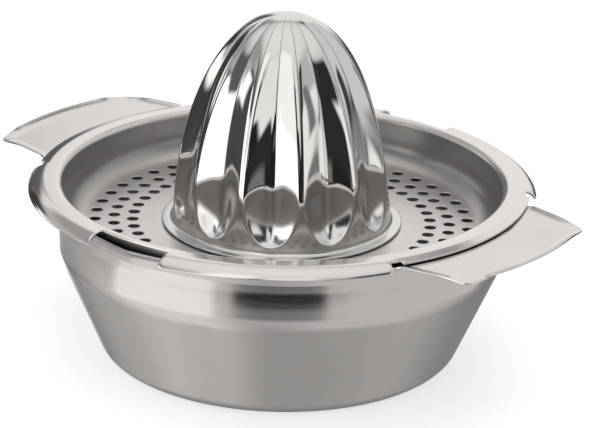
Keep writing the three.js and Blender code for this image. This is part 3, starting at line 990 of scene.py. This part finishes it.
# %% Fill of the floor
faces_at_edge = add_node(pierced, "GeometryNodeInputMeshEdgeNeighbors").outputs[0]
edge_height = add_node(pierced, "ShaderNodeSeparateXYZ", {
    0: add_node(pierced, "GeometryNodeInputPosition").outputs[0],
}).outputs["Z"]
floor_limit = add(given["Floor level"], edge_tolerance * MM)
at_floor = calc(pierced, "LESS_THAN", edge_height, floor_limit)
on_one_face = calc(pierced, "LESS_THAN", faces_at_edge, 1.5)
floor_edge = add_node(pierced, "GeometryNodeMeshToCurve", {
    "Mesh": given["Geometry"], "Selection": multiply(on_one_face, at_floor),
})
outlines = join(pierced, floor_edge.outputs[0], holes.outputs[0])
sheet_fill = add_node(pierced, "GeometryNodeFillCurve", {0: outlines.outputs[0]})
to_level = add_node(pierced, "ShaderNodeCombineXYZ", {2: given["Floor level"]})
floor_face = add_node(pierced, "GeometryNodeSetPosition", {
    "Geometry": sheet_fill.outputs[0], "Offset": to_level.outputs[0],
})
whole_dish = join(pierced, floor_face.outputs[0], given["Geometry"])
end_tree(pierced, whole_dish, floor_joint_distance, given, result)
print(len(pierced.nodes), "nodes with the fill")

# %% Pierce the floor
run_tree(dish, pierced, {**floor_numbers, "Finish": dish_steel})
mostly_down = -0.9
down = sum(1 for face in dish.data.polygons if face.normal.z < mostly_down)
print("pierced dish:", len(dish.data.polygons), "faces, of which", down, "face down")
finish_sheet(dish)
dress(dish, dish_steel, "strainer", "strainer")

# %% [markdown]
# ## The reamer cone
#
# The cone follows a rule: a rounded dome is turned about its axis, and eleven V-shaped flutes are pressed
# into it, which end in a rounded scoop near the foot. So Geometry Nodes make it from a section. The
# section is a chain of points that runs down the outside, round the edge of the foot, and up the inside.
# Each column of a grid takes its points from it, and the flutes then draw them in. The volume of the
# finished mesh tells whether its faces point outwards; if not, they are turned round.

# %% Cone sizes
cone_height = 62
cone_foot_fillet = 1
profile_height_power = 1.87
profile_radius_power = 2.18
flute_count = 11
columns_per_flute = 32
flute_depth = 4.4
flute_depth_power = 0.85
flute_end_height = 13
flute_end_land = 1.4
flute_run_out = 2.5
least_width_share = 0.001
ridge_half_width = 0.9
edge_softness = 0.12
valley_bluntness = 0.05
scoop_bluntness = 0.8
scoop_height = 44

foot_underside = floor_level + seat_gap
foot_top = foot_underside + sheet
cone_base = foot_top + cone_foot_fillet
cone_tip = floor_level + cone_height
foot_reach = cone_radius + cone_foot_width
print("cone from", round(foot_underside, 2), "to", round(cone_tip, 2), "mm up")


def dome_radius(z, tip, radius):
    share = ramp(z, cone_base, tip)
    return radius * (1 - share ** profile_height_power) ** (1 / profile_radius_power)


# %% Cone section
def dome_section(tip, radius, steps):
    """Points down one face of the dome, closer together near the tip and near the foot."""
    shares = [(1 + math.cos(math.pi * k / steps)) / 2 for k in range(steps + 1)]
    levels = [cone_base + (tip - cone_base) * share for share in shares]
    return [(dome_radius(z, tip, radius), z) for z in levels]


outer_face = dome_section(cone_tip, cone_radius, steps=150)
fillet_centre = cone_radius + cone_foot_fillet
fillet = arc(fillet_centre, cone_base, cone_foot_fillet, 180, 270, steps=8)[1:]
foot_edge = arc(foot_reach - sheet / 2, foot_top - sheet / 2, sheet / 2, 90, -90, steps=8)
fillet_inside = arc(fillet_centre, cone_base, cone_foot_fillet + sheet, 270, 180, steps=8)[:-1]
inner_face = dome_section(cone_tip - sheet, cone_radius - sheet, steps=60)[::-1]
section = outer_face + fillet + foot_edge + fillet_inside + inner_face

section_mesh = bpy.data.meshes.new("cone_section")
section_mesh.from_pydata(
    [(r * MM, 0, z * MM) for r, z in section], [(k, k + 1) for k in range(len(section) - 1)], []
)
cone = new_object("fluted_cone", section_mesh)
print("section of the cone:", len(section), "points")

# %% [markdown]
# The flute rule, in words: at a height, the depth falls off towards the tip; near the foot it ends in a
# quarter ellipse; across the flute it is deepest in the valley and gone at the ridge, which keeps a narrow
# land. Across, the flute is a branch of a hyperbola: straight sides that meet in a rounded bottom. The
# bottom is sharp near the tip and gets rounder towards the foot, where it ends in a scoop. A smooth
# maximum rounds the edge of the land a little, as pressed sheet is. At the tip all points are kept from
# being drawn in past the axis.

# %% Net of the cone
flute_numbers = {
    "Columns per flute": columns_per_flute, "Flutes": flute_count,
    "Flute depth": flute_depth * MM, "Depth power": flute_depth_power,
    "Tip level": cone_tip * MM, "Base level": cone_base * MM,
    "End level": (cone_base + flute_end_land) * MM, "End height": flute_end_height * MM,
    "Run out": flute_run_out * MM, "Scoop height": scoop_height * MM,
    "Ridge share": ridge_half_width / cone_radius / (math.pi / flute_count),
    "Valley bluntness": valley_bluntness, "Scoop bluntness": scoop_bluntness,
    "Edge softness": edge_softness,
}
fluted, given, result = geometry_tree("fluted cone", flute_numbers)
add, subtract, multiply, divide, larger = sums(fluted)
section_points = add_node(fluted, "GeometryNodeAttributeDomainSize", {0: given["Geometry"]}).outputs[0]
net = add_node(fluted, "GeometryNodeMeshGrid", {
    "Vertices X": add(multiply(given["Columns per flute"], given["Flutes"]), 1.0),
    "Vertices Y": section_points,
})
number = add_node(fluted, "GeometryNodeInputIndex").outputs[0]
along = calc(fluted, "MODULO", number, section_points)
around = calc(fluted, "FLOOR", divide(number, section_points))
taken = add_node(fluted, "GeometryNodeSampleIndex", {
    "Geometry": given["Geometry"], "Index": along,
    "Value": add_node(fluted, "GeometryNodeInputPosition").outputs[0],
}, data_type="FLOAT_VECTOR")
from_section = add_node(fluted, "ShaderNodeSeparateXYZ", {0: taken.outputs[0]}).outputs
print("a net of", columns_per_flute * flute_count + 1, "columns")

# %% Depth at a height
below_tip = larger(subtract(given["Tip level"], from_section["Z"]), 0.0)
cone_length = subtract(given["Tip level"], given["Base level"])
depth_share = calc(fluted, "POWER", divide(below_tip, cone_length), given["Depth power"])
end_top = add(given["End level"], given["End height"])
end_share = add_node(fluted, "ShaderNodeClamp", {
    0: divide(subtract(end_top, from_section["Z"]), given["End height"]),
}).outputs[0]
end_curve = calc(fluted, "SQRT", subtract(1.0, multiply(end_share, end_share)))
run_out = graded(fluted, below_tip, 0.0, given["Run out"], eased=True)
depth = multiply(multiply(multiply(given["Flute depth"], depth_share), end_curve), run_out)
print("a flute is up to", flute_depth, "mm deep")

# %% Form across a flute
turn_share = divide(around, given["Columns per flute"])
past_valley = subtract(turn_share, calc(fluted, "ROUND", turn_share))
from_valley = multiply(calc(fluted, "ABSOLUTE", past_valley), 2.0)
flute_width = larger(multiply(subtract(1.0, given["Ridge share"]), end_curve), least_width_share)
scoop_top = add(given["Base level"], given["Scoop height"])
in_scoop = graded(fluted, from_section["Z"], given["Base level"], scoop_top, 1.0, 0.0, eased=True)
rounder = subtract(given["Scoop bluntness"], given["Valley bluntness"])
blunt = add(given["Valley bluntness"], multiply(rounder, in_scoop))
blunt_squared = multiply(blunt, blunt)


def above_bottom(share):
    """How far a hyperbola with this blunt bottom has risen at a share of its half width."""
    return subtract(calc(fluted, "SQRT", add(multiply(share, share), blunt_squared)), blunt)


across = divide(above_bottom(divide(from_valley, flute_width)), above_bottom(1.0))
pressed = calc(fluted, "SMOOTH_MAX", subtract(1.0, across), 0.0, given["Edge softness"])
pressed = calc(fluted, "MINIMUM", pressed, 1.0)
drawn_in = larger(subtract(from_section["X"], multiply(depth, pressed)), 0.0)
print("a ridge keeps", 2 * ridge_half_width, "mm of the dome")

# %% Pressed net and its marks
turn = subtract(multiply(divide(turn_share, given["Flutes"]), math.tau), math.pi / 2)
shaped = add_node(fluted, "GeometryNodeSetPosition", {
    "Geometry": net.outputs[0], "Position": polar_place(fluted, drawn_in, turn, from_section["Z"]),
})
on_line = larger(from_valley, subtract(1.0, from_valley))
next_column = divide(2.0, given["Columns per flute"])
line_share = divide(subtract(1.0, on_line), next_column)
crease = multiply(larger(subtract(1.0, line_share), 0.0), subtract(1.0, in_scoop))
for mark, value in (("crease", crease), ("scoop", end_share)):
    shaped = add_node(fluted, "GeometryNodeStoreNamedAttribute", {
        "Geometry": shaped.outputs[0], "Name": mark, "Value": value,
    }, data_type="FLOAT", domain="POINT")
end_tree(fluted, shaped, joint_distance, given, result)
print(len(fluted.nodes), "nodes press the flutes")

# %% Press the flutes
run_tree(cone, fluted, {**flute_numbers, "Finish": cone_steel})
bm = bmesh.new()
bm.from_mesh(cone.data)
open_edges = sum(1 for edge in bm.edges if not edge.is_manifold)
volume = bm.calc_volume(signed=True)
if volume < 0:
    bmesh.ops.reverse_faces(bm, faces=bm.faces)
bm.to_mesh(cone.data)
bm.free()
cone.data.shade_smooth()
dress(cone, cone_steel, "strainer", "reamer_cone")
print("cone:", open_edges, "open edges, volume", round(abs(volume) / MM ** 3), "cubic millimetres")
